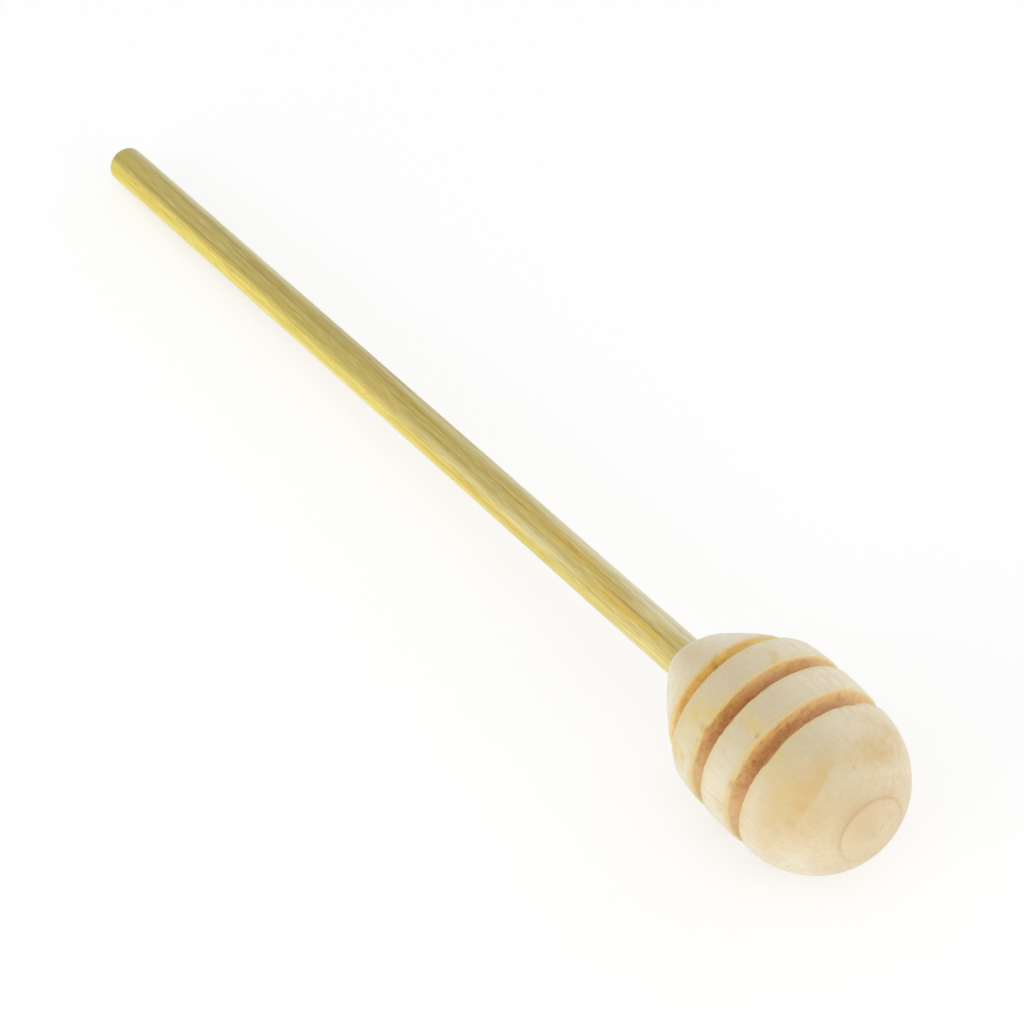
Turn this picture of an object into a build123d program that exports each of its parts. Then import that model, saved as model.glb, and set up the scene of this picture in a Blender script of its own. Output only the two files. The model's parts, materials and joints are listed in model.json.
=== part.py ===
from build123d import *
from math import asin, atan2, cos, degrees, radians, sin, sqrt, tan
import os

# Honey dipper: a bamboo handle glued into a turned wooden head with three grooves.
# Lengths are in millimetres and angles in degrees.
# It lies as it does on a table: +X runs along it towards the head's tip, +Z is up,
# the table is Z = 0, and the origin is the middle of its footprint.
# Places along either piece are counted from the back of the head, positive towards the tip.

# Handle, a bamboo dowel
handle_diameter = 6.0
handle_reach = 149.5  # from the free end to the back of the head
handle_end_round = 0.8  # sanded edge of the free end

# The end that sits in the head is tapered, so that it starts easily and leaves room for glue
taper_lead = 1.0  # the taper starts this far behind the head
taper_loss = 0.25  # taken off the radius over the taper's length
seated_end_chamfer = 0.4

# Socket, a hole drilled in the back of the head
socket_clearance = 0.05  # all round the full handle
socket_depth = 20.0
drill_point_angle = 118.0
glue_pool = 0.5  # glue between the handle's end and the socket's floor
glue_recess = 2.0  # the glue starts this far inside the socket's mouth

# The socket is drilled askew: both axes cross inside the head
skew_sideways = 2.3  # turns the head's tip towards -Y
skew_down = 0.7  # turns the head's tip down
skew_depth = 14.0  # from the back of the head to the crossing

# Head, turned between a narrow back and a round dome
head_length = 39.0
back_rim = 0.5  # the back face is wider than the handle by this, all round
back_rim_round = 0.8
back_bulge = 0.56  # the back's arc stands this far off its chord
belly_radius = 12.6
shoulder_place = 13.0
shoulder_drop = 0.5  # the shoulder's radius is this much under the belly's
dome_drop = 0.3  # and the dome's is this much under it
belly_share = 0.58  # the belly is widest this far along from the shoulder to the dome

# Grooves, which hold the honey, counted from the handle
groove_widths = (2.3, 2.45, 2.6)
groove_depths = (2.3, 3.2, 3.2)
groove_first_place = 9.8
groove_last_setback = 2.0  # the last groove starts this far before the dome does
groove_wall_lean = 0.35  # each wall comes in by this from lip to floor
groove_floor_round = 0.5
groove_soft_edge = 0.5  # the lip on the handle's side is worn soft
groove_crisp_edge = 0.15  # the lip on the tip's side is left crisp
groove_overrun = 1.0  # how far the cut starts outside the wood

# Parting mark, a fine ring where the head was cut off its blank
mark_radius = 4.85
mark_depth = 0.2
mark_tool_radius = 0.3
mark_lean = 3.0  # the ring sits a little above the tip

handle_radius = handle_diameter / 2
socket_radius = handle_radius + socket_clearance
drill_point = socket_radius / tan(radians(drill_point_angle / 2))
seated_place = socket_depth - glue_pool
seated_radius = handle_radius - taper_loss
back_radius = handle_radius + back_rim
dome_radius = belly_radius - dome_drop
dome_place = head_length - dome_radius
belly_place = shoulder_place + belly_share * (dome_place - shoulder_place)
groove_last_place = dome_place - groove_last_setback
groove_pitch = (groove_last_place - groove_first_place) / (len(groove_widths) - 1)

# The back and the belly are one arc each
shoulder = (shoulder_place, belly_radius - shoulder_drop)
belly_top = (belly_place, belly_radius)
dome_edge = (dome_place, dome_radius)
back_arc = SagittaArc((0, back_radius), shoulder, back_bulge)
belly_arc = ThreePointArc(shoulder, belly_top, dome_edge)

# At rest a level table touches the belly's arc and the rounded edge of the free end.
# Both are circles in the upright plane along the handle, with the centres below.
crossing = Vector(skew_depth, 0)
belly_centre = Vector(belly_arc.arc_center.X, -belly_arc.arc_center.Y)
belly_centre = (belly_centre - crossing).rotate(Axis.Z, -skew_down) + crossing
end_centre = Vector(handle_end_round - handle_reach, handle_end_round - handle_radius)
span = belly_centre - end_centre
rest_tilt = degrees(asin((belly_arc.radius - handle_end_round) / span.length) - atan2(span.Y, span.X))
along_handle = Vector(cos(radians(rest_tilt)), 0, sin(radians(rest_tilt)))


def lines_through(back):
    """Planes of the handle and of the head, with x along the piece, y up and their zero at the back."""
    handle_plane = Plane(origin=back, x_dir=along_handle, z_dir=(0, -1, 0))
    turn = Pos(skew_depth, 0, 0) * Rot(0, -skew_sideways, -skew_down) * Pos(-skew_depth, 0, 0)
    return handle_plane, Plane(handle_plane.location * turn)


# The back of the head is put where it brings the footprint's middle and the table to zero
handle_line, head_line = lines_through(Vector(0, 0, 0))
tip_x = head_line.from_local_coords(Vector(dome_place, 0, 0)).X + dome_radius
upper_end_centre = Vector(end_centre.X, -end_centre.Y, 0)
end_x = handle_line.from_local_coords(upper_end_centre).X - handle_end_round
belly_y = head_line.from_local_coords(Vector(belly_place, 0, 0)).Y
table_z = handle_line.from_local_coords(end_centre).Z - handle_end_round
handle_line, head_line = lines_through(Vector(-(tip_x + end_x) / 2, -belly_y, -table_z))
handle_axis = Axis(handle_line.origin, handle_line.x_dir)
head_axis = Axis(head_line.origin, head_line.x_dir)
mark_line = Plane(head_line.location * Pos(dome_place, 0, 0) * Rot(0, 0, mark_lean))
mark_axis = Axis(mark_line.origin, mark_line.x_dir)


def soften(sketch, corner, radius):
    """Rounds the sketch's corner nearest to a point."""
    fillet(sketch.vertices().sort_by_distance(corner)[0], radius)


def outline_radius(place):
    """Radius of the head at a place on its back or belly."""
    arc = back_arc if place < shoulder_place else belly_arc
    return arc.arc_center.Y + sqrt(arc.radius**2 - (place - arc.arc_center.X) ** 2)


# Handle: a round dowel, rounded at the free end, tapered and chamfered at the seated end
with BuildPart() as handle:
    with BuildSketch(handle_line) as handle_half:
        with BuildLine():
            Polyline(
                (-handle_reach, 0),
                (-handle_reach, handle_radius),
                (-taper_lead, handle_radius),
                (seated_place, seated_radius),
                (seated_place, 0),
                close=True,
            )
        make_face()
        soften(handle_half, (-handle_reach, handle_radius), handle_end_round)
        seated_corner = handle_half.vertices().sort_by_distance((seated_place, seated_radius))[0]
        chamfer(seated_corner, seated_end_chamfer)
    revolve(axis=handle_axis)


# Head: back, belly and dome turned in one outline, then the grooves
with BuildPart() as head:
    with BuildSketch(head_line) as head_half:
        with BuildLine():
            add([back_arc, belly_arc])
            CenterArc((dome_place, 0), dome_radius, 90, -90)
            Polyline((head_length, 0), (0, 0), (0, back_radius))
        make_face()
        soften(head_half, (0, back_radius), back_rim_round)
        for number, (width, depth) in enumerate(zip(groove_widths, groove_depths)):
            start = groove_first_place + number * groove_pitch
            end = start + width
            lip = outline_radius(start)
            floor = lip - depth
            outside = belly_radius + groove_overrun
            flare = groove_wall_lean * (outside - lip) / depth
            with BuildLine():
                Polyline(
                    (start - flare, outside),
                    (start + groove_wall_lean, floor),
                    (end - groove_wall_lean, floor),
                    (end + flare, outside),
                    close=True,
                )
            make_face(mode=Mode.SUBTRACT)
            soften(head_half, (start, lip), groove_soft_edge)
            soften(head_half, (end, lip), groove_crisp_edge)
            soften(head_half, (start + groove_wall_lean, floor), groove_floor_round)
            soften(head_half, (end - groove_wall_lean, floor), groove_floor_round)
    revolve(axis=head_axis)

    # The parting mark is a fine ring on the dome
    with BuildSketch(mark_line):
        ring_angle = degrees(asin(mark_radius / dome_radius))
        with PolarLocations(dome_radius + mark_tool_radius - mark_depth, 1, start_angle=ring_angle):
            Circle(mark_tool_radius)
    revolve(axis=mark_axis, mode=Mode.SUBTRACT)

    # The socket is drilled along the handle's axis
    with BuildSketch(handle_line):
        with BuildLine():
            Polyline(
                (-taper_lead, 0),
                (-taper_lead, socket_radius),
                (socket_depth, socket_radius),
                (socket_depth + drill_point, 0),
                close=True,
            )
        make_face()
    revolve(axis=handle_axis, mode=Mode.SUBTRACT)


# Glue: fills the socket round the handle's tapered end
with BuildPart() as glue:
    with BuildSketch(handle_line):
        with BuildLine():
            Polyline(
                (glue_recess, 0),
                (glue_recess, socket_radius),
                (socket_depth, socket_radius),
                (socket_depth + drill_point, 0),
                close=True,
            )
        make_face()
    revolve(axis=handle_axis)
    add(handle.part, mode=Mode.SUBTRACT)


os.makedirs("parts", exist_ok=True)

handle.part.label = "handle"
export_step(handle.part, "parts/handle.step")

head.part.label = "head"
export_step(head.part, "parts/head.step")

glue.part.label = "glue"
export_step(glue.part, "parts/glue.step")
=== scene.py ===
import json
from math import asin, ceil, cos, hypot, pi, radians, sin, tan

import bpy
import numpy as np
from mathutils import Matrix, Vector, noise


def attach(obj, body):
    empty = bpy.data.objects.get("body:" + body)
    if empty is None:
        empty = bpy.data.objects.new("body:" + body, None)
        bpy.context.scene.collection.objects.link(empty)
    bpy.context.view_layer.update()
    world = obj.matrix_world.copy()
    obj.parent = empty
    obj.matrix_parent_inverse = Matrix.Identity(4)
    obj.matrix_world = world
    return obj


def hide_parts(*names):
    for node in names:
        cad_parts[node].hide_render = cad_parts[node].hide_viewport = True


# Honey dipper: a bamboo handle glued into a turned wooden head, lying on a pale floor.
# Both pieces are modelled in millimetres along their own axis: x runs from the back of the
# head towards its tip, y is up and z is level, towards the side on which the camera stands.
# Angles round a piece are in degrees from y towards z. Blender's own objects are in metres.

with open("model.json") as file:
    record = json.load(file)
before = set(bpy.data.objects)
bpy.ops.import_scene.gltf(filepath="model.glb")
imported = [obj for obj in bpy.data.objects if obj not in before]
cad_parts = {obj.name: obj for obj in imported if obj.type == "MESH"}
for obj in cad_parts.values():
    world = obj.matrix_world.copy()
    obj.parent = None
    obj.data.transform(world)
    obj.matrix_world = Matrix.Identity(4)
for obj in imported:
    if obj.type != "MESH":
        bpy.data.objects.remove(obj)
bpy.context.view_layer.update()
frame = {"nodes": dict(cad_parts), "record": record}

mm = 0.001

# The handle's line and radius come from the frame: the bare handle is the record's mount
handle_mount = frame["record"]["mounts"][0]
handle_radius = handle_mount["dims"]["r_mm"]
bare_length = handle_mount["dims"]["length_mm"]

# Handle
handle_end_round = 0.8
taper_lead = 1.0
taper_loss = 0.25
seated_place = 19.5
seated_end_chamfer = 0.4
handle_reach = bare_length + taper_lead + handle_end_round

# Socket, drilled askew in the back of the head
socket_radius = 3.05
socket_depth = 20.0
drill_point_angle = 118.0
drill_point = socket_radius / tan(radians(drill_point_angle / 2))
skew_sideways = 2.3
skew_down = 0.7
skew_depth = 14.0  # from the back of the head to where both axes cross

# Head
head_length = 39.0
back_radius = 3.5
back_rim_round = 0.8
back_bulge = 0.56  # the back's arc stands this far off its chord
belly_radius = 12.6
belly_share = 0.58  # the belly is widest about this far along from the shoulder to the dome
dome_radius = 12.3
dome_place = head_length - dome_radius
shoulder = (13.0, 12.1)
belly_top = (shoulder[0] + belly_share * (dome_place - shoulder[0]), belly_radius)

# Grooves: where each starts, its width and its depth
groove_starts = (9.8, 17.25, 24.7)
groove_widths = (2.3, 2.45, 2.6)
groove_depths = (2.3, 3.2, 3.2)
groove_wall_lean = 0.35
groove_floor_round = 0.5
groove_soft_edge = 0.5  # the lip on the handle's side
groove_crisp_edge = 0.15  # the lip on the tip's side

# Parting mark, a fine ring on the dome
mark_radius = 4.85
mark_depth = 0.16
mark_width = 0.26
mark_lean = 3.0  # its axis leans up from the head's by this

# Meshing
corner_points = 7  # on each rounded corner
pole_radius = 0.02  # of the handle's smallest rings, beside its first and last point
seed_shift = (7.31, 3.17, 5.03)  # each seed moves the noise by this many lumps
wide_lump = 1.3  # sizes of the noise that breaks up the patches of tone
small_lump = 0.45


def handle_frame():
    """Matrix from the handle's millimetres to the row frame."""
    along = -Vector(handle_mount["axis"])
    side = Vector((0, -1, 0))
    up = side.cross(along)
    back = Vector(handle_mount["pos_m"]) + along * (bare_length / 2 + taper_lead) * mm
    turn = Matrix((along, up, side)).transposed().to_4x4()
    return Matrix.Translation(back) @ turn @ Matrix.Scale(mm, 4)


def head_frame():
    """Matrix from the head's millimetres to the row frame: the socket is drilled askew."""
    crossing = Matrix.Translation((skew_depth, 0, 0))
    sideways = Matrix.Rotation(radians(-skew_sideways), 4, "Y")
    down = Matrix.Rotation(radians(-skew_down), 4, "Z")
    return handle_frame() @ crossing @ sideways @ down @ crossing.inverted()


def circle_through(a, b, c):
    """Centre and radius of the circle through three points of an outline."""
    (ax, ay), (bx, by), (cx, cy) = a, b, c
    turn = 2 * (ax * (by - cy) + bx * (cy - ay) + cx * (ay - by))
    squares = [x * x + y * y for x, y in (a, b, c)]
    x = (squares[0] * (by - cy) + squares[1] * (cy - ay) + squares[2] * (ay - by)) / turn
    y = (squares[0] * (cx - bx) + squares[1] * (ax - cx) + squares[2] * (bx - ax)) / turn
    return x, y, hypot(ax - x, ay - y)


def bulge_point(a, b, bulge):
    """The middle of an arc from a to b that stands off its chord by the bulge."""
    length = hypot(b[0] - a[0], b[1] - a[1])
    return (
        (a[0] + b[0]) / 2 - (b[1] - a[1]) / length * bulge,
        (a[1] + b[1]) / 2 + (b[0] - a[0]) / length * bulge,
    )


back_edge = (0, back_radius)
back_circle = circle_through(back_edge, bulge_point(back_edge, shoulder, back_bulge), shoulder)
belly_circle = circle_through(shoulder, belly_top, (dome_place, dome_radius))
dome_circle = (dome_place, 0, dome_radius)


def outline_radius(place):
    """Radius of the head's outline at places along it, without the grooves."""

    def on(circle):
        x, y, radius = circle
        return y + np.sqrt(np.maximum(radius**2 - (place - x) ** 2, 0))

    back_or_belly = np.where(place < shoulder[0], on(back_circle), on(belly_circle))
    return np.where(place < dome_place, back_or_belly, on(dome_circle))


def rounded(corners, step):
    """An outline through corners (place, radius, rounding), its points at most a step apart."""
    line = []
    for number, (x, y, rounding) in enumerate(corners):
        corner = np.array((x, y))
        if not rounding:
            line.append(corner)
            continue
        before, after = (np.array(corners[number + way][:2]) - corner for way in (-1, 1))
        before, after = before / np.linalg.norm(before), after / np.linalg.norm(after)
        half_angle = np.arccos(np.clip(before @ after, -1, 1)) / 2
        inward = (before + after) / np.linalg.norm(before + after)
        centre = corner + inward * rounding / sin(half_angle)
        across = after - inward * (after @ inward)
        across = across / np.linalg.norm(across)
        sweep = pi / 2 - half_angle
        for lean in np.linspace(-sweep, sweep, corner_points):
            line.append(centre - rounding * (inward * cos(lean) + across * sin(-lean)))
    points = [line[0]]
    for a, b in zip(line, line[1:]):
        count = max(1, ceil(np.linalg.norm(b - a) / step))
        points += [a + (b - a) * n / count for n in range(1, count + 1)]
    return np.array(points)


def rough(points, size, seed):
    """Smooth noise from about -1 to 1 at each point, with lumps of about the given size."""
    shifted = points / size + seed * np.array(seed_shift)
    values = [noise.noise(Vector(point)) for point in shifted.reshape(-1, 3)]
    return np.array(values).reshape(points.shape[:-1])


def layers(points, *sheets):
    """Noises added up, each given by its strength, the size of its lumps and its seed."""
    return sum(strength * rough(points, size, seed) for strength, size, seed in sheets)


def ring_points(place, radius, angles):
    """Points (rows, angles, 3) at these places and radii, which may differ round the piece."""
    place, radius, angles = np.broadcast_arrays(place, radius, angles)
    return np.stack([place, radius * np.cos(angles), radius * np.sin(angles)], axis=-1)


def make_piece(name, first, rows, last, to_row, attributes):
    """A closed mesh from its first point through rows of rings to its last point.

    The matrix brings its millimetres to the row frame. The attributes hold a value or a
    vector for each point of the rows, and the shaders read them.
    """
    count, around = rows.shape[:2]
    points = np.concatenate([[first], rows.reshape(-1, 3), [last]])
    matrix = np.array(to_row)
    places = points @ matrix[:3, :3].T + matrix[:3, 3]
    index = 1 + np.arange(count * around).reshape(count, around)
    beside = np.roll(index, -1, axis=1)
    quads = np.stack([index[:-1], beside[:-1], beside[1:], index[1:]], axis=-1).reshape(-1, 4)
    end = len(points) - 1
    faces = [(0, b, a) for a, b in zip(index[0], beside[0])]
    faces += quads.tolist()
    faces += [(end, a, b) for a, b in zip(index[-1], beside[-1])]
    mesh = bpy.data.meshes.new(name)
    mesh.from_pydata(places.tolist(), [], faces)
    mesh.polygons.foreach_set("use_smooth", np.ones(len(mesh.polygons), bool))
    for key, values in attributes.items():
        kind = "FLOAT_VECTOR" if values.ndim == 3 else "FLOAT"
        made = mesh.attributes.new(key, kind, "POINT")
        flat = values.reshape(count * around, -1)
        flat = np.concatenate([flat[:1], flat, flat[-1:]]).astype(np.float32)
        if kind == "FLOAT_VECTOR":
            flat[0], flat[-1] = first, last
            made.data.foreach_set("vector", flat.ravel())
        else:
            flat[0], flat[-1] = values[0].mean(), values[-1].mean()
            made.data.foreach_set("value", flat.ravel())
    mesh.validate()
    piece = bpy.data.objects.new(name, mesh)
    bpy.context.scene.collection.objects.link(piece)
    return piece


def bell(value, middle, width):
    """1 at the middle, falling off smoothly over about the width."""
    return np.exp(-(((value - middle) / width) ** 2))


def step_up(value, start, end):
    """0 before the start and 1 after the end, smooth between."""
    t = np.clip((value - start) / (end - start), 0, 1)
    return t * t * (3 - 2 * t)


def hill(value, rise, full, fade, gone):
    """0 before the rise, 1 from full to fade and 0 once gone, smooth between."""
    return step_up(value, rise, full) * (1 - step_up(value, fade, gone))


def angle_between(angle, middle):
    """Signed difference of two angles in degrees, from -180 to 180."""
    return (angle - middle + 180) % 360 - 180


def patches(place, angle, points, table, seed, lumpy=0.5, spotty=0.4):
    """Soft patches (place, angle, half length, half width in degrees, strength).

    Noise breaks them up: lumpy is the strength of its wide lumps and spotty of its small ones.
    """
    broken = 1 + layers(points, (lumpy, wide_lump, seed), (spotty, small_lump, seed + 1))
    spots = np.zeros(broken.shape)
    for at, turn, length, width, strength in table:
        spot = strength * bell(place, at, length) * bell(angle_between(angle, turn), 0, width)
        spots = np.maximum(spots, spot)
    return np.clip(spots * broken, 0, 1)


# Handle mesh

fibre_twist = 0.30  # degrees that the bamboo's fibres turn for each mm along the handle
fibre_relief = 0.03  # height of the fibres
fibre_sink = 0.25  # the surface is sunk by this share of the height
fibre_squeeze = 0.02  # noise is squeezed by this along the handle, so that it runs with the fibres
relief_fade = 2.0  # the relief starts over this length behind the taper
handle_around = 180
handle_step = 1.2  # between rings where the radius stays the same
handle_end_step = 0.2  # and where it changes
level_limit = 0.01  # a change smaller than this doesn't count
handle_fine_step = 0.25  # the outline is sampled at this before rings are picked from it

tone_stray = 2.0  # degrees by which the edges of the tones stray
line_follow = 0.3  # the dark lines stray by this share of it

# Dark fibre bundles: first and last place, angle at each, half width in degrees, strength
fibre_lines = (
    (-149, -128, 39, 40, 2.6, 0.50),
    (-132, -104, 40, 41, 3.0, 0.70),
    (-106, -84, 42, 46, 3.2, 0.35),
    (-130, -98, -10, -8, 3.0, 0.15),
    (-116, -76, 8, 10, 4.0, 0.60),
    (-102, -86, 8, 9, 2.5, 0.35),
    (-92, -70, -18, -15, 3.0, 0.60),
    (-130, -76, 59, 62, 1.8, 0.45),
    (-120, -96, 50, 51, 1.6, 0.35),
    (-92, -78, 54, 55, 2.0, 0.45),
    (-144, -122, 20, 21, 3.0, 0.30),
    (-76, -54, 3, 6, 3.5, 0.65),
    (-70, -58, 22, 24, 2.5, 0.40),
    (-63, -46, 31, 36, 3.0, 0.80),
    (-60, -40, 17, 18, 2.6, 0.45),
    (-50, -20, 12, 16, 3.2, 0.60),
    (-44, -30, -7, -6, 2.6, 0.50),
    (-27, -8, 9, 12, 3.0, 0.60),
    (-26, -12, 18, 21, 4.0, 0.40),
    (-17, 2, 28, 31, 3.0, 0.75),
    (-74, -44, 63, 65, 1.8, 0.45),
    (-74, -56, 56, 57, 1.6, 0.35),
    (-57, -22, 84, 85, 1.5, 0.25),
    (-30, -12, 64, 66, 2.5, 0.25),
    (-140, -90, 200, 207, 4.0, 0.60),
    (-110, -30, 246, 262, 3.0, 0.50),
    (-80, -10, 150, 160, 4.0, 0.50),
    (-60, -6, 300, 308, 3.5, 0.50),
)

# Tones of the bamboo: place, angle, half length, half width in degrees, strength
golden_patches = (
    (-24.0, 18.0, 14.0, 16.0, 0.75),
    (-30.0, 4.0, 20.0, 12.0, 0.75),
    (-10.0, 42.0, 10.0, 18.0, 0.95),
    (-6.0, 4.0, 8.0, 18.0, 0.40),
    (-48.0, 80.0, 20.0, 8.0, 0.60),
    (-92.0, 74.0, 18.0, 14.0, 0.40),
    (-136.0, 62.0, 9.0, 10.0, 0.35),
    (-112.0, 62.0, 8.0, 8.0, 0.25),
    (-58.0, 5.0, 30.0, 25.0, 0.25),
    (-60.0, 200.0, 40.0, 30.0, 0.50),
)
silver_patches = (
    (-52.0, 55.0, 14.0, 9.0, 0.30),
    (-32.0, 58.0, 10.0, 12.0, 0.40),
    (-62.0, -20.0, 26.0, 12.0, 0.35),
    (-26.0, -16.0, 20.0, 8.0, 0.35),
    (-8.0, 12.0, 3.0, 8.0, 0.40),
    (-6.0, 62.0, 8.0, 12.0, 0.15),
    (-5.0, 94.0, 8.0, 22.0, 0.30),
    (-14.0, -42.0, 22.0, 24.0, 1.00),
    (-6.0, -16.0, 12.0, 16.0, 0.75),
    (-90.0, 250.0, 30.0, 24.0, 0.50),
)


def handle_rows():
    """The handle's outline as places and radii, from the free end to the seated one."""
    seated_radius = handle_radius - taper_loss
    corners = [
        (-handle_reach, pole_radius, 0),
        (-handle_reach, handle_radius, handle_end_round),
        (-taper_lead, handle_radius, 0),
        (seated_place - seated_end_chamfer, seated_radius, 0),
        (seated_place, seated_radius - seated_end_chamfer, 0),
        (seated_place, pole_radius, 0),
    ]
    fine = rounded(corners, handle_fine_step)
    keep = [0]
    for n in range(1, len(fine)):
        gap = fine[n] - fine[keep[-1]]
        wanted = handle_step if abs(gap[1]) < level_limit else handle_end_step
        if np.linalg.norm(gap) >= wanted or n == len(fine) - 1:
            keep.append(n)
    return fine[keep]


def make_handle():
    """The handle: a round dowel with the low relief of its fibres where it is bare."""
    outline = handle_rows()
    turns = np.linspace(0, 2 * pi, handle_around, endpoint=False)
    place, radius = outline[:, :1], outline[:, 1:]
    fibre = ring_points(place, radius, turns - radians(fibre_twist) * place)
    stretched = fibre * (fibre_squeeze, 1, 1)
    relief = layers(stretched, (0.6, 0.9, 1), (0.4, 0.35, 2))
    # The relief fades out towards the head and over the cut ends
    bare = step_up(-place, taper_lead, taper_lead + relief_fade)
    bare = bare * np.clip(radius / handle_radius, 0, 1) ** 4
    worn = np.broadcast_to(radius, relief.shape) + (relief - fibre_sink) * fibre_relief * bare
    rows = ring_points(place, worn, turns)
    angle = np.broadcast_to(np.degrees(turns), relief.shape)
    attributes = {"fibre": fibre}
    # The tones belong to the dowel's surface and fade out over its cut ends
    surface = step_up(radius / handle_radius, 0.3, 0.75)
    for key, tone in handle_tones(place, angle, stretched).items():
        attributes[key] = tone * surface
    first, last = (-handle_reach, 0, 0), (seated_place, 0, 0)
    return make_piece("bamboo_handle", first, rows, last, handle_frame(), attributes)


def handle_tones(place, angle, stretched):
    """How yellow, golden and silvery the handle is, how much painted light brightens it below, how
    pale it is, mostly from painted sheen, and where its dark lines run.
    """
    stray = tone_stray * rough(stretched * (3, 0.3, 0.3), 1.5, 5)
    beyond = angle_between(angle, 0)
    # The flank is yellow, partly its own colour and partly painted light from below: its edge drops
    # and softens a little along the handle
    edge = 40 + 4 * step_up(place, -40, -15) + stray
    softness = 27 + 13 * step_up(place, -104, -66)
    yellow = hill(beyond, edge, edge + softness, 140, 176)
    yellow = yellow * (1 - 0.25 * step_up(place, -46, -28))
    # Painted light: its lower part is brighter, as if lit from below, less so near the head
    painted_lower_light = hill(beyond, 76, 112, 150, 178)
    painted_lower_light = painted_lower_light * (1 - 0.6 * step_up(place, -70, -20))
    # Painted sheen: the side away from the camera is pale, least so about halfway along
    lift = 5 * (1 - step_up(place, -105, -80))
    painted_sheen = 0.8 - 0.8 * step_up(beyond, -48 + lift, -8 + lift + stray)
    painted_sheen = painted_sheen * (1 - 0.8 * bell(place, -66, 28)) * step_up(beyond, -176, -140)
    # The handle grows a little paler towards the head, least so on the flank
    nearer = step_up(place, -75, 0) * (1 - 0.6 * step_up(beyond, 10, 60))
    nearer = nearer * step_up(beyond, -150, -100)
    pale = np.clip(painted_sheen + 0.3 * nearer, 0, 1)
    golden = patches(place, angle, stretched, golden_patches, 61)
    silver = patches(place, angle, stretched, silver_patches, 63)
    lines = np.zeros_like(yellow)
    for start, end, from_angle, to_angle, width, strength in fibre_lines:
        share = np.clip((place - start) / (end - start), 0, 1)
        middle = from_angle + (to_angle - from_angle) * share + line_follow * stray
        fade = hill(place, start - 3, start + 6, end - 6, end + 3)
        lines = np.maximum(lines, strength * fade * bell(angle_between(angle, middle), 0, width))
    tones = {"yellow": yellow, "painted_lower_light": painted_lower_light, "pale": pale}
    return {**tones, "golden": golden, "silver": silver, "line": lines}


# Head mesh

head_around = 300
back_step = 0.35  # along the back and the bands
groove_step = 0.3  # at most, anywhere
dome_step = 0.25
outline_start = 0.5  # the outline starts at this radius, inside the socket's mouth
back_start = 0.4  # the back is sampled from here on
soft_lead = 0.75  # left free before each groove, for the rounding of its soft lip
crisp_trail = 0.3  # and behind it, for that of its crisp lip
blend_place = 3.2  # past here the head's rings are true circles
mouth_rows = 16  # from the socket's mouth to there
mouth_samples = 900  # along the back, where the mouth is looked for
socket_rows = 12
rim_place = 0.3  # the rounded rim before here isn't taken for a groove

# The back's edge round the handle is worn down on one side
back_wear = 0.7
back_wear_angle = -30.0
back_wear_width = 75.0
back_wear_length = 3.0  # the wear fades out over this length, and the relief fades in

# The crisp lips stray less than the soft ones, but lean towards the handle on one side
crisp_share = 0.6
crisp_lean = 0.32
crisp_lean_angle = 100.0
crisp_lean_width = 42.0

# Tear-outs of the grooves' edges: groove, edge, angle, half width in degrees, how far they go
tear_start = 0.6  # share of the half width left on the side where a tear-out starts
tear_outs = (
    (0, "start", 16.0, 3.5, 0.28),
    (0, "start", -8.0, 6.0, 0.12),
    (0, "start", 64.0, 9.0, 0.12),
    (1, "start", 56.0, 3.5, 0.55),
    (1, "start", 88.0, 14.0, 0.20),
    (1, "start", -5.0, 5.0, 0.15),
    (1, "end", 21.0, 3.0, 0.06),
    (1, "end", 45.0, 4.0, 0.08),
    (2, "start", 40.0, 5.0, 0.15),
    (2, "start", 70.0, 5.0, 0.22),
    (2, "start", -32.0, 10.0, 0.20),
    (2, "end", -20.0, 3.5, 0.18),
    (2, "end", 38.0, 10.0, 0.16),
    (2, "end", 45.0, 3.0, 0.07),
    (0, "start", 150.0, 8.0, 0.20),
    (1, "start", 190.0, 6.0, 0.35),
    (2, "start", 235.0, 9.0, 0.25),
    (1, "start", 275.0, 12.0, 0.20),
    (0, "start", 290.0, 5.0, 0.20),
)
lip_share = 0.35  # a groove's floor strays by this share of what its lips do
lip_depth = 0.8  # the rest fades out over this depth

# Relief of the surface
torn_depth = 0.5  # in the grooves the fibres are fully torn from this depth on
sanding_relief = 0.045
sanding_sink = 0.01  # the sanded surface lies this much deeper on average

# Angles round the head on which its tones are centred
mark_angle = 20.0
shade_angle = 28.0
groove_angle = 33.0
arc_angle = 46.0

# A growth ring shows on the dome as a tan arc
arc_start = 29.5
arc_full = 33.9
arc_end = 34.4
arc_retreat = 2.4  # it ends this much sooner on the side away from the camera

socket_tone = 2.0  # the socket's wood looks as it does this deep in a groove
tone_radius = 12.0  # the tones' noise is taken on a cylinder of this radius
lip_noise_radius = 4.0  # and that of the lips on a circle of this one

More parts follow.
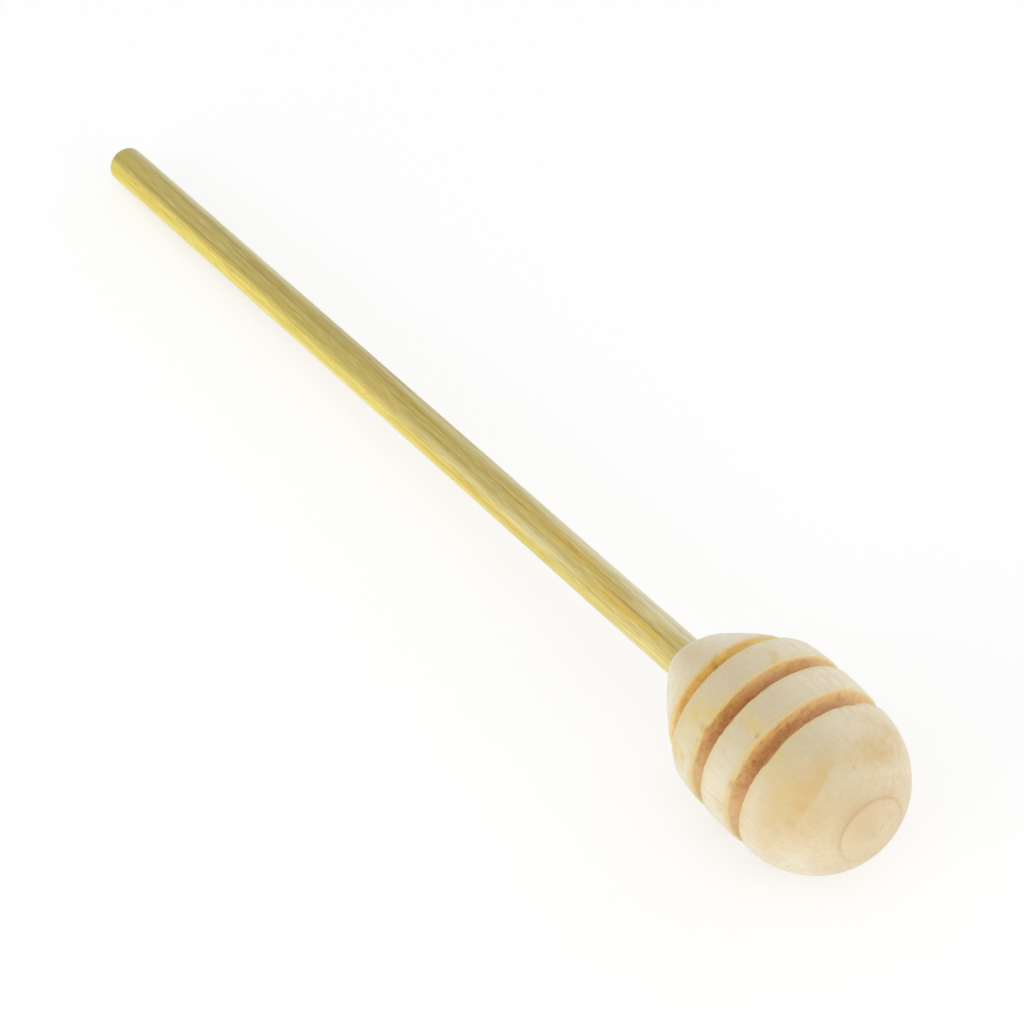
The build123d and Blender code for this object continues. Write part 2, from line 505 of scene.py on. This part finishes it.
# Stains and tones of the wood: place, angle, half length, half width in degrees, strength
amber_stains = (
    (16.0, -6.0, 1.6, 3.5, 0.60),
    (16.9, -3.0, 0.5, 5.0, 0.60),
    (16.6, 57.0, 0.5, 4.0, 0.60),
    (16.6, 45.0, 1.0, 7.0, 0.70),
    (14.3, 54.0, 2.4, 11.0, 0.60),
    (13.4, 52.0, 0.8, 5.0, 0.40),
    (12.9, 62.0, 1.3, 20.0, 0.42),
    (13.3, 84.0, 1.3, 12.0, 0.50),
    (15.4, 68.0, 1.6, 18.0, 0.25),
    (14.9, 85.0, 0.9, 6.0, 0.60),
    (16.2, 72.0, 0.9, 7.0, 0.35),
    (22.4, 34.0, 2.3, 4.5, 0.55),
    (24.0, 36.0, 0.5, 4.0, 0.60),
    (23.6, 92.0, 1.2, 8.0, 0.40),
    (20.6, 52.0, 0.8, 5.0, 0.25),
    (28.3, 38.0, 1.2, 4.0, 0.45),
    (28.8, 46.0, 1.4, 7.0, 0.35),
    (8.6, 60.0, 1.2, 20.0, 0.25),
    (31.2, 52.0, 1.6, 14.0, 0.30),
    (15.5, 170.0, 2.0, 10.0, 0.50),
    (22.0, 215.0, 2.2, 7.0, 0.45),
    (16.5, 260.0, 1.5, 9.0, 0.50),
    (23.0, 290.0, 1.6, 8.0, 0.40),
)
# Dark spots; those along the crisp lips of the second and third grooves are painted shadow
dark_spots_and_lip_shadows = (
    (16.7, 56.0, 0.35, 2.5, 0.30),
    (24.1, 37.5, 0.25, 1.6, 0.40),
    (10.30, 23.0, 0.35, 2.6, 0.90),
    (19.75, 15.0, 0.15, 4.0, 0.70),
    (19.72, 33.0, 0.12, 2.0, 0.50),
    (19.75, 42.0, 0.15, 3.0, 0.70),
    (19.75, 50.0, 0.13, 2.0, 0.60),
    (27.40, -23.0, 0.20, 2.2, 0.90),
    (27.36, -13.0, 0.16, 2.0, 0.70),
    (27.36, 41.0, 0.14, 3.0, 0.60),
    (34.6, 4.0, 0.18, 0.9, 0.55),
    (24.5, 71.0, 0.25, 2.5, 0.35),
    (21.4, 57.0, 0.12, 1.5, 0.30),
    (38.9, -36.0, 0.10, 4.0, 0.40),
    (30.6, 180.0, 0.20, 1.5, 0.50),
    (18.2, 205.0, 0.50, 4.0, 0.60),
    (25.4, 250.0, 0.50, 4.0, 0.60),
)
tan_patches = (
    (32.4, -40.0, 2.8, 22.0, 0.60),
    (30.4, -28.0, 2.2, 16.0, 0.40),
    (31.0, 54.0, 1.6, 14.0, 0.35),
    (32.2, 8.0, 2.0, 14.0, 0.30),
    (29.6, 30.0, 1.6, 8.0, 0.25),
    (28.6, 84.0, 1.6, 16.0, 0.25),
    (31.8, 70.0, 2.8, 40.0, 0.60),
    (33.8, -24.0, 2.6, 36.0, 0.75),
    (35.2, 62.0, 2.6, 40.0, 0.60),
    (5.0, 30.0, 3.0, 14.0, 0.30),
    (32.0, 190.0, 3.0, 30.0, 0.60),
)


def head_outline():
    """The head's outline from the middle of its back to its tip, as points (place, radius)."""
    corners = [(0, outline_start, 0), (0, back_radius, back_rim_round)]
    stop = back_start
    for start, width, depth in zip(groove_starts, groove_widths, groove_depths):
        end = start + width
        lip, far_lip = float(outline_radius(start)), float(outline_radius(end))
        floor = lip - depth
        before = start - soft_lead
        places = np.linspace(stop, before, ceil((before - stop) / back_step) + 1)
        corners += [(place, float(outline_radius(place)), 0) for place in places]
        corners += [
            (start, lip, groove_soft_edge),
            (start + groove_wall_lean, floor, groove_floor_round),
            (end - groove_wall_lean, floor, groove_floor_round),
            (end, far_lip, groove_crisp_edge),
        ]
        stop = end + crisp_trail
    dome_start = asin((stop - dome_place) / dome_radius)
    steps = ceil(dome_radius * (pi / 2 - dome_start) / dome_step)
    for angle in np.linspace(dome_start, pi / 2, steps + 1)[:-1]:
        corners.append((dome_place + dome_radius * sin(angle), dome_radius * cos(angle), 0))
    return rounded(corners, groove_step)


def socket_mouth(outline):
    """Where the socket's wall meets the head's surface.

    Returns the outline's lengths and points near the back, and the angles round the head
    with the length at which the mouth lies at each.
    """
    turns = np.linspace(0, 2 * pi, head_around, endpoint=False)
    near = outline[outline[:, 0] < blend_place]
    length = np.concatenate([[0], np.cumsum(np.linalg.norm(np.diff(near, axis=0), axis=1))])
    fine = np.linspace(0, length[-1], mouth_samples)
    place, radius = (np.interp(fine, length, near[:, n]) for n in (0, 1))
    points = ring_points(place[:, None], radius[:, None], turns)
    to_handle = np.array(handle_frame().inverted() @ head_frame())
    seen = points @ to_handle[:3, :3].T + to_handle[:3, 3]
    inside = np.hypot(seen[..., 1], seen[..., 2]) < socket_radius
    mouth = fine[inside.sum(0)]
    return length, near, turns, mouth


def wander(turns, groove, edge):
    """How far a groove's edge strays at each angle, start towards the handle, end to the tip."""
    around = ring_points(0.0, lip_noise_radius, turns)
    seed = 11 + groove * 2 + (edge == "end")
    stray = layers(around, (0.10, 0.9, seed), (0.07, 0.25, seed + 20))
    angle = np.degrees(turns)
    if edge == "end":
        lean = crisp_lean * bell(angle_between(angle, crisp_lean_angle), 0, crisp_lean_width)
        stray = crisp_share * stray - lean
    for at_groove, at_edge, middle, width, depth in tear_outs:
        if (at_groove, at_edge) == (groove, edge):
            away = angle_between(angle, middle)
            side = np.where(away < 0, width * tear_start, width)
            stray = stray + depth * bell(away, 0, side)
    return stray


def strayed(place, below, turns):
    """How far the surface is carried along the head by the straying edges of the grooves."""
    moved = np.zeros_like(place)
    near_lip = lip_share + (1 - lip_share) * bell(below, 0, lip_depth)
    for groove, (start, width) in enumerate(zip(groove_starts, groove_widths)):
        end = start + width
        towards_handle = hill(place, start - 1.3, start - 0.1, start + 0.5, end - 0.6)
        towards_tip = hill(place, start + 0.6, end - 0.5, end + 0.1, end + 1.0)
        moved -= towards_handle * near_lip * wander(turns, groove, "start")
        moved += towards_tip * near_lip * wander(turns, groove, "end")
    return moved


def cut_mark(points, place, turns):
    """Cuts the parting mark, and says where the wood of its ring, partly painted shade, and of its
    disc is darker.
    """
    outward = points - (dome_place, 0, 0)
    distance = np.linalg.norm(outward, axis=-1)
    mark_axis = np.array((cos(radians(mark_lean)), sin(radians(mark_lean)), 0))
    off_axis = np.arccos(np.clip(outward @ mark_axis / distance, -1, 1))
    off_ring = (off_axis - asin(mark_radius / dome_radius)) * dome_radius
    on_dome = step_up(place, dome_place + 2, dome_place + 3)
    ring = bell(off_ring, 0, mark_width) * on_dome
    disc = (1 - step_up(off_ring, -0.5, 0.1)) * on_dome
    points = (dome_place, 0, 0) + outward * (1 - mark_depth * ring / distance)[..., None]
    # The wood is darker in the ring and just outside it, mostly on one side, partly as painted
    # shade of the ring's step
    around = angle_between(np.degrees(turns), mark_angle)
    ring = ring * (0.3 + 0.7 * bell(around, 0, 85))
    ring = ring + 0.4 * bell(off_ring, 0.7, 0.6) * bell(around, 0, 60) * on_dome
    return points, ring, disc


def make_head():
    """The head: turned, with ragged grooves, bands sanded by hand and a socket in its back."""
    outline = head_outline()
    length, near, turns, mouth = socket_mouth(outline)
    # Its first rings run from the mouth to the first true circle
    far = outline[outline[:, 0] >= blend_place]
    share = np.linspace(0, 1, mouth_rows, endpoint=False)[:, None]
    along = mouth + (length[-1] - mouth) * share
    place = np.interp(along, length, near[:, 0])
    radius = np.interp(along, length, near[:, 1])
    place = np.concatenate([place, np.repeat(far[:, :1], head_around, axis=1)])
    radius = np.concatenate([radius, np.repeat(far[:, 1:], head_around, axis=1)])
    smooth_place, smooth = place, outline_radius(place)
    # How deep the surface lies in a groove
    below = np.maximum(np.where(place < rim_place, 0, smooth - radius), 0)

    # The grooves' edges stray, and the back's edge is worn down where the handle leaves it
    moved = strayed(place, below, turns)
    radius = radius + outline_radius(place + moved) - smooth
    away = angle_between(np.degrees(turns), back_wear_angle)
    worn = back_wear * bell(away, 0, back_wear_width) * (1 - step_up(place, 0, back_wear_length))
    place = place + moved + worn
    points = ring_points(place, radius, turns)

    # Torn fibres in the grooves, and the slight unevenness of hand sanding elsewhere
    torn = np.clip(below / torn_depth, 0, 1)
    chatter = 0.06 * rough(points * (0.6, 1, 1), 0.55, 31) + 0.03 * rough(points, 0.22, 32)
    uneven = sanding_relief * rough(points * (0.5, 1, 1), 5.0, 33) - sanding_sink
    clear = step_up(place, 0, back_wear_length)
    radius = radius + clear * (uneven * (1 - torn) + chatter * torn)
    place = place + torn * layers(points, (0.08, 0.5, 34), (0.03, 0.2, 35))
    points, ring, disc = cut_mark(ring_points(place, radius, turns), place, turns)

    # The shaders read where the wood lay before it strayed
    base = ring_points(smooth_place, np.maximum(smooth - below, 0), turns)
    attributes = {"wood": base, "depth": below, "ring": ring, "disc": disc}
    attributes.update(head_tones(smooth_place, np.degrees(turns)))
    rows, attributes = add_socket(points, attributes)
    first, last = socket_tip(), (head_length, 0, 0)
    return make_piece("turned_head", first, rows, last, head_frame(), attributes)


def head_tones(place, angle):
    """Stains, dark spots, tan rings, and painted shade and shadow on the head, each from 0 to 1."""
    angle = np.broadcast_to(angle, place.shape)
    points = ring_points(place, tone_radius, np.radians(angle))
    beyond = angle_between(angle, 0)
    spots = patches(place, angle, points, dark_spots_and_lip_shadows, 43)

    # The wood turns amber just before each groove's soft lip, and a little behind its crisp one
    # painted shadow turns it amber
    amber = patches(place, angle, points, amber_stains, 41, spotty=0.2)
    cloudy = 1 + 0.6 * rough(points, 1.2, 49)
    for start, width in zip(groove_starts, groove_widths):
        end = start + width
        lead = hill(place, start - 1.5, start - 0.2, start, start + 0.4)
        lead = lead * (0.15 + 0.3 * step_up(beyond, 15, 50))
        painted_lip_shadow = 0.3 * hill(place, end - 0.2, end, end + 0.1, end + 1.1)
        amber = np.maximum(amber, (lead + painted_lip_shadow) * cloudy)

    # The growth ring's arc ends sharply towards the tip, and past it the dome is a little tan
    tan_wood = patches(place, angle, points, tan_patches, 45, lumpy=0.25, spotty=0.1)
    edge = arc_end - arc_retreat * (1 - step_up(beyond, -15, 45)) + 0.2 * rough(points, 2.0, 47)
    arc = hill(place, arc_start, arc_full, edge - 0.3, edge + 0.8)
    facing = angle_between(angle, arc_angle)
    arc = arc * (0.3 + 0.7 * bell(facing, 0, 42)) * (0.2 + 0.8 * bell(facing, 0, 85))
    tan_wood = np.maximum(tan_wood, 0.85 * arc * (1 + 0.3 * rough(points, 1.6, 48)))
    tan_wood = np.maximum(tan_wood, 0.4 * step_up(place, 34.2, 36.5))

    # Painted shade: the wood is greyer along the middle of the side that the camera sees, most on
    # the bands, and paler towards both sides
    away = angle_between(angle, shade_angle)
    on_band = step_up(place, 7, 15)
    shade_width = np.where(away < 0, 25 + 12 * on_band, 30 + 20 * on_band)
    painted_shade = bell(away, 0, shade_width) * (0.85 + 0.2 * on_band - 0.35 * step_up(place, 31, 37))

    # Painted shade in the grooves: darkest where the camera looks straight into them, paler on the
    # sides; the first groove is golden
    golden = 1 - step_up(place, groove_starts[0] + groove_widths[0], groove_starts[1] - 1)
    first = hill(beyond, -30, 15, 48, 98)
    others = 0.5 * step_up(beyond, -62, -14) + 0.35 * step_up(beyond, 0, 32)
    others = others * (1 - 0.95 * step_up(beyond, 42, 100))
    unseen = 0.5 * step_up(np.abs(angle_between(angle, groove_angle)), 95, 150)
    painted_groove_shade = golden * first + (1 - golden) * others + unseen
    tones = {"amber": amber, "spot": spots, "tan": np.clip(tan_wood, 0, 1)}
    return {**tones, "painted_shade": painted_shade, "golden": golden, "painted_groove_shade": painted_groove_shade}


def socket_tip():
    """The drill point at the bottom of the socket, in the head's millimetres."""
    to_head = head_frame().inverted() @ handle_frame()
    return np.array(to_head @ Vector((socket_depth + drill_point, 0, 0)))


def add_socket(points, attributes):
    """Puts the rows of the socket's wall before the first row, which is its mouth."""
    to_head = head_frame().inverted() @ handle_frame()
    out = np.array(to_head)
    back = np.array(to_head.inverted())
    mouth = points[0] @ back[:3, :3].T + back[:3, 3]
    turns = np.arctan2(mouth[:, 2], mouth[:, 1])
    rows = []
    for share in (1 / 3, 2 / 3):
        place = socket_depth + drill_point * (1 - share)
        rows.append(ring_points(place, socket_radius * share, turns))
    for share in np.linspace(0, 1, socket_rows, endpoint=False):
        place = socket_depth + (mouth[:, 0] - socket_depth) * share
        rows.append(ring_points(place, socket_radius, turns))
    rows = np.array(rows) @ out[:3, :3].T + out[:3, 3]
    fill = {"wood": rows, "depth": np.full(rows.shape[:2], socket_tone)}
    merged = {}
    for key, values in attributes.items():
        extra = fill.get(key, np.zeros(rows.shape[:2]))
        merged[key] = np.concatenate([extra, values])
    return np.concatenate([rows, points]), merged


# Materials

sheen_roughness = 0.4


class Shader:
    """A material's node tree, with a short call for each kind of node used here."""

    def __init__(self, name):
        self.material = bpy.data.materials.new(name)
        self.material.use_nodes = True
        self.tree = self.material.node_tree
        self.surface = self.tree.nodes["Principled BSDF"]

    def put(self, socket, value):
        """Links the socket to a node's output, or sets its own value."""
        if isinstance(value, bpy.types.NodeSocket):
            self.tree.links.new(value, socket)
        elif socket.type == "RGBA":
            socket.default_value = (*value, 1)
        else:
            socket.default_value = value

    def attribute(self, name, output="Fac"):
        """What the mesh holds under this name, as a value or, from the output Vector, as places."""
        node = self.tree.nodes.new("ShaderNodeAttribute")
        node.attribute_name = name
        return node.outputs[output]

    def math(self, operation, a, b):
        node = self.tree.nodes.new("ShaderNodeMath")
        node.operation = operation
        self.put(node.inputs[0], a)
        self.put(node.inputs[1], b)
        return node.outputs[0]

    def times(self, a, b):
        return self.math("MULTIPLY", a, b)

    def stretch(self, vector, factors):
        """Places with each coordinate multiplied by its factor."""
        node = self.tree.nodes.new("ShaderNodeVectorMath")
        node.operation = "MULTIPLY"
        self.put(node.inputs[0], vector)
        self.put(node.inputs[1], factors)
        return node.outputs[0]

    def noise(self, vector, size, detail, roughness=0.5):
        """Noise from 0 to 1 with lumps of about the given size in millimetres."""
        node = self.tree.nodes.new("ShaderNodeTexNoise")
        self.put(node.inputs["Vector"], vector)
        node.inputs["Scale"].default_value = 1 / size
        node.inputs["Detail"].default_value = detail
        node.inputs["Roughness"].default_value = roughness
        return node.outputs["Fac"]

    def between(self, value, low, high, to_low=0.0, to_high=1.0):
        """Maps a range of the value smoothly to another range."""
        node = self.tree.nodes.new("ShaderNodeMapRange")
        node.interpolation_type = "SMOOTHSTEP"
        for socket, number in zip(node.inputs, (value, low, high, to_low, to_high)):
            self.put(socket, number)
        return node.outputs["Result"]

    def mix(self, share, a, b):
        """Colour a where the share is 0 and b where it is 1."""
        node = self.tree.nodes.new("ShaderNodeMix")
        node.data_type = "RGBA"
        self.put(node.inputs["Factor"], share)
        colours = [socket for socket in node.inputs if socket.type == "RGBA"]
        self.put(colours[0], a)
        self.put(colours[1], b)
        return next(socket for socket in node.outputs if socket.type == "RGBA")

    def bump(self, height):
        """Fine relief, with its height in millimetres."""
        node = self.tree.nodes.new("ShaderNodeBump")
        node.inputs["Distance"].default_value = mm
        self.put(node.inputs["Height"], height)
        self.put(self.surface.inputs["Normal"], node.outputs["Normal"])

    def finish(self, colour, roughness, specular, sheen=0.0):
        """Sets the surface itself and returns the material."""
        self.put(self.surface.inputs["Base Color"], colour)
        self.put(self.surface.inputs["Roughness"], roughness)
        self.surface.inputs["Specular IOR Level"].default_value = specular
        self.surface.inputs["Sheen Weight"].default_value = sheen
        self.surface.inputs["Sheen Roughness"].default_value = sheen_roughness
        return self.material


def rgb(red, green, blue):
    """A colour as it looks on screen, from 0 to 255, in Blender's linear values."""

    def linear(value):
        share = value / 255
        return share / 12.92 if share <= 0.04045 else ((share + 0.055) / 1.055) ** 2.4

    return tuple(linear(value) for value in (red, green, blue))


def bamboo():
    """Bamboo: long fibres, a yellow flank, a tan top, pale sides and dark fibre bundles, with
    painted light on its lower part and painted sheen on the side away from the camera.
    """
    s = Shader("bamboo")
    fibre = s.attribute("fibre", "Vector")
    broad = s.noise(s.stretch(fibre, (0.012, 1, 1)), 0.9, 2)
    fine = s.noise(s.stretch(fibre, (0.018, 1, 1)), 0.22, 3, 0.6)
    dashes = s.noise(s.stretch(fibre, (0.045, 1, 1)), 0.17, 2, 0.6)
    cloud = s.noise(s.stretch(fibre, (0.12, 1, 1)), 2.4, 2)
    top = s.mix(s.between(broad, 0.3, 0.7), rgb(178, 160, 82), rgb(194, 177, 102))
    top = s.mix(s.between(cloud, 0.4, 0.75, 0.0, 0.5), top, rgb(190, 174, 86))
    flank = s.mix(s.between(broad, 0.35, 0.65), rgb(230, 206, 84), rgb(242, 223, 116))
    # The yellow flank is partly its own colour and partly painted light from below
    colour = s.mix(s.attribute("yellow"), top, flank)
    # Painted light on the handle's lower part
    colour = s.mix(s.times(s.attribute("painted_lower_light"), 0.75), colour, rgb(254, 244, 158))
    # Painted sheen on the side away from the camera, and a little paling towards the head
    colour = s.mix(s.attribute("pale"), colour, rgb(233, 229, 190))
    colour = s.mix(s.attribute("golden"), colour, rgb(216, 184, 84))
    colour = s.mix(s.attribute("silver"), colour, rgb(246, 236, 202))
    colour = s.mix(s.between(fine, 0.42, 0.62, 0.0, 0.25), colour, rgb(164, 138, 60))
    colour = s.mix(s.between(dashes, 0.54, 0.68, 0.0, 0.38), colour, rgb(170, 142, 62))
    colour = s.mix(s.between(dashes, 0.44, 0.32, 0.0, 0.28), colour, rgb(242, 230, 160))
    line = s.times(s.attribute("line"), s.between(dashes, 0.35, 0.6, 0.5, 1.0))
    colour = s.mix(s.times(line, 0.8), colour, rgb(142, 116, 44))
    height = s.math("ADD", s.times(fine, 0.03), s.times(dashes, -0.02))
    s.bump(height)
    return s.finish(colour, s.between(fine, 0.3, 0.7, 0.45, 0.62), 0.4, 0.05)


def turned_wood():
    """Raw pale wood with growth rings and stains, amber and orange in the grooves, with painted
    shade over the middle of the side that the camera sees and in the grooves.
    """
    s = Shader("turned_wood")
    wood = s.attribute("wood", "Vector")
    depth = s.attribute("depth")
    mottle = s.noise(s.stretch(wood, (0.35, 1, 1)), 4.5, 3, 0.55)
    clouds = s.noise(wood, 1.4, 3, 0.6)
    grain = s.noise(s.stretch(wood, (0.1, 1, 1)), 0.5, 3, 0.6)
    grit = s.noise(wood, 0.16, 2, 0.6)
    pale = s.mix(s.between(mottle, 0.35, 0.65), rgb(247, 240, 217), rgb(248, 238, 211))
    # Painted shade: the pale wood turns greyer along the middle of the side that the camera sees
    colour = s.mix(s.attribute("painted_shade"), pale, rgb(206, 193, 161))
    colour = s.mix(s.between(clouds, 0.42, 0.66, 0.0, 0.35), colour, rgb(224, 202, 174))
    colour = s.mix(s.between(clouds, 0.5, 0.34, 0.0, 0.3), colour, rgb(218, 214, 178))
    colour = s.mix(s.between(grain, 0.45, 0.7, 0.0, 0.25), colour, rgb(208, 186, 144))
    colour = s.mix(s.attribute("tan"), colour, rgb(214, 181, 121))
    # Amber stains and lead-ins to the grooves, with painted shadow just behind the crisp lips
    colour = s.mix(s.attribute("amber"), colour, rgb(219, 190, 98))
    # Grooves: amber at the lip, orange further in and brown in patches; painted shade makes them
    # darker where the camera looks straight in and paler on the sides
    edge = s.noise(wood, 0.5, 3, 0.6)
    patchy = s.noise(wood, 1.3, 4, 0.65)
    uneven = s.math("ADD", depth, s.times(s.math("SUBTRACT", edge, 0.5), 0.6))
    golden = s.attribute("golden")
    painted_groove_shade = s.attribute("painted_groove_shade")
    lip = s.mix(painted_groove_shade, rgb(246, 222, 170), rgb(234, 194, 112))
    wall = s.mix(painted_groove_shade, rgb(255, 232, 188), rgb(238, 192, 112))
    wall = s.mix(golden, wall, s.mix(painted_groove_shade, rgb(255, 241, 180), rgb(246, 220, 140)))
    bottom = s.mix(painted_groove_shade, rgb(254, 230, 196), rgb(214, 164, 104))
    bottom = s.mix(golden, bottom, s.mix(painted_groove_shade, rgb(252, 234, 168), rgb(234, 203, 148)))
    colour = s.mix(s.between(uneven, 0.0, 0.35), colour, lip)
    colour = s.mix(s.between(uneven, 0.3, 1.0), colour, wall)
    colour = s.mix(s.between(uneven, 1.2, 2.6), colour, bottom)
    # The brown patches are partly burn marks and partly painted shade: they follow the painted
    # groove shade and fade on the sides
    inside = s.times(s.between(depth, 0.2, 0.8), s.between(painted_groove_shade, 0.0, 0.9, 0.35, 1.0))
    inside = s.times(inside, s.between(golden, 0.0, 1.0, 1.0, 0.5))
    burn_and_shade = s.times(s.between(patchy, 0.46, 0.66, 0.0, 0.6), inside)
    colour = s.mix(burn_and_shade, colour, rgb(200, 140, 76))
    scorch_and_shade = s.times(s.between(edge, 0.52, 0.7, 0.0, 0.35), inside)
    colour = s.mix(scorch_and_shade, colour, rgb(184, 120, 66))
    fresh = s.times(s.between(patchy, 0.46, 0.32, 0.0, 0.35), inside)
    colour = s.mix(fresh, colour, rgb(246, 206, 128))
    # Painted shadow: a thin dark brown line deepest in the grooves
    painted_groove_shadow = s.times(s.between(uneven, 2.7, 3.0, 0.0, 0.4), inside)
    colour = s.mix(painted_groove_shadow, colour, rgb(152, 94, 46))
    # Dark spots, some of them painted shadow along the crisp lips
    colour = s.mix(s.attribute("spot"), colour, rgb(158, 112, 54))
    # The parting ring, darkened partly by painted shade on one side
    colour = s.mix(s.times(s.attribute("ring"), 0.65), colour, rgb(208, 168, 116))
    colour = s.mix(s.times(s.attribute("disc"), 0.35), colour, rgb(232, 204, 166))
    height = s.math("ADD", s.times(grain, 0.03), s.times(grit, -0.03))
    s.bump(height)
    return s.finish(colour, s.between(grain, 0.3, 0.7, 0.62, 0.8), 0.3, 0.3)


def dried_glue():
    """Dried wood glue, dull amber with a few bubbles."""
    s = Shader("dried_glue")
    where = s.tree.nodes.new("ShaderNodeTexCoord").outputs["Object"]
    where = s.stretch(where, (1 / mm, 1 / mm, 1 / mm))
    cloud = s.noise(where, 1.5, 3)
    bubbles = s.noise(where, 0.3, 1)
    colour = s.mix(s.between(cloud, 0.35, 0.65), rgb(216, 190, 130), rgb(196, 164, 98))
    s.bump(s.times(bubbles, 0.05))
    return s.finish(colour, s.between(cloud, 0.3, 0.7, 0.35, 0.55), 0.5)


# Pieces

handle = make_handle()
handle.data.materials.append(bamboo())
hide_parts("handle")
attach(handle, "root")

head = make_head()
head.data.materials.append(turned_wood())
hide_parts("head")
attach(head, "root")

glue = frame["nodes"]["glue"]
glue.material_slots[0].material = dried_glue()


# Stage: floor, world, lamps and camera

floor_size = 6.0
floor_white = 0.9  # how bright the floor is for the light that it throws back
floor_shade = 0.45  # and how bright it looks, besides its glow
floor_glow = 0.60
sky_fill = 0.75  # strength of the sky's light
sky_shown = 1.0  # and of the sky itself

softbox_size = 0.6
softboxes = (  # name, place and power
    ("left_softbox", (0.05, -0.75, 0.16), 2.3),
    ("right_softbox", (-0.05, 0.75, 0.22), 0.6),
    ("front_softbox", (0.8, 0.1, 0.22), 1.3),
)

# The camera's place is counted from the back of the head, and its angles are in degrees
camera_offset = Vector((194.176, -171.488, 273.359)) * mm
camera_azimuth = 53.736
camera_elevation = 43.684
camera_roll = 0.526
focal_pixels = 2820.0
image_pixels = 1024
sensor_width = 36.0
clip_near = 0.01
clip_far = 20.0


def seen_directly(tree):
    """1 on rays that show a surface or the sky itself, 0 on those that carry its light."""
    path = tree.nodes.new("ShaderNodeLightPath")
    value = path.outputs["Is Camera Ray"]
    for name in ("Is Glossy Ray", "Is Transmission Ray"):
        node = tree.nodes.new("ShaderNodeMath")
        node.operation = "MAXIMUM"
        tree.links.new(value, node.inputs[0])
        tree.links.new(path.outputs[name], node.inputs[1])
        value = node.outputs[0]
    return value


def lead_out(tree, output, shown, lighting):
    """Gives one shader to rays that show the surface, and another to those that carry its light."""
    mix = tree.nodes.new("ShaderNodeMixShader")
    tree.links.new(seen_directly(tree), mix.inputs[0])
    tree.links.new(lighting.outputs[0], mix.inputs[1])
    tree.links.new(shown.outputs[0], mix.inputs[2])
    end = tree.nodes.new(output)
    tree.links.new(mix.outputs[0], end.inputs["Surface"])


def make_floor():
    """A floor that looks nearly white, with a soft and pale shadow."""
    bpy.ops.mesh.primitive_plane_add(size=floor_size)
    floor = bpy.context.object
    floor.name = "floor"
    material = bpy.data.materials.new("floor")
    material.use_nodes = True
    tree = material.node_tree
    tree.nodes.clear()
    lighting = tree.nodes.new("ShaderNodeBsdfDiffuse")
    lighting.inputs["Color"].default_value = (floor_white, floor_white, floor_white, 1)
    shaded = tree.nodes.new("ShaderNodeBsdfDiffuse")
    shaded.inputs["Color"].default_value = (floor_shade, floor_shade, floor_shade, 1)
    glow = tree.nodes.new("ShaderNodeEmission")
    glow.inputs["Strength"].default_value = floor_glow
    shown = tree.nodes.new("ShaderNodeAddShader")
    tree.links.new(shaded.outputs[0], shown.inputs[0])
    tree.links.new(glow.outputs[0], shown.inputs[1])
    lead_out(tree, "ShaderNodeOutputMaterial", shown, lighting)
    floor.data.materials.append(material)


def make_sky(tree, strength):
    """An even white sky of this strength."""
    sky = tree.nodes.new("ShaderNodeBackground")
    sky.inputs["Color"].default_value = (1, 1, 1, 1)
    sky.inputs["Strength"].default_value = strength
    return sky


def make_world():
    """A white sky whose light is weaker than it looks."""
    world = bpy.data.worlds.new("studio")
    bpy.context.scene.world = world
    world.use_nodes = True
    tree = world.node_tree
    tree.nodes.clear()
    shown, lighting = make_sky(tree, sky_shown), make_sky(tree, sky_fill)
    lead_out(tree, "ShaderNodeOutputWorld", shown, lighting)


def make_lamp(name, place, power):
    """A square softbox that points at the middle of the dipper."""
    light = bpy.data.lights.new(name, "AREA")
    light.size = softbox_size
    light.energy = power
    lamp = bpy.data.objects.new(name, light)
    lamp.location = place
    lamp.rotation_euler = (-Vector(place)).to_track_quat("-Z", "Y").to_euler()
    bpy.context.scene.collection.objects.link(lamp)


def make_camera():
    """The camera that was fitted to the outlines in the photograph."""
    data = bpy.data.cameras.new("camera")
    data.sensor_width = sensor_width
    data.lens = focal_pixels * sensor_width / image_pixels
    data.clip_start = clip_near
    data.clip_end = clip_far
    camera = bpy.data.objects.new("camera", data)
    place = Matrix.Translation(handle_frame().translation + camera_offset)
    turn = Matrix.Rotation(radians(camera_azimuth), 4, "Z")
    lean = Matrix.Rotation(radians(90 - camera_elevation), 4, "X")
    roll = Matrix.Rotation(radians(camera_roll), 4, "Z")
    camera.matrix_world = place @ turn @ lean @ roll
    bpy.context.scene.collection.objects.link(camera)
    bpy.context.scene.camera = camera


make_floor()
make_world()
for name, place, power in softboxes:
    make_lamp(name, place, power)
make_camera()
bpy.context.scene.view_settings.view_transform = "Standard"
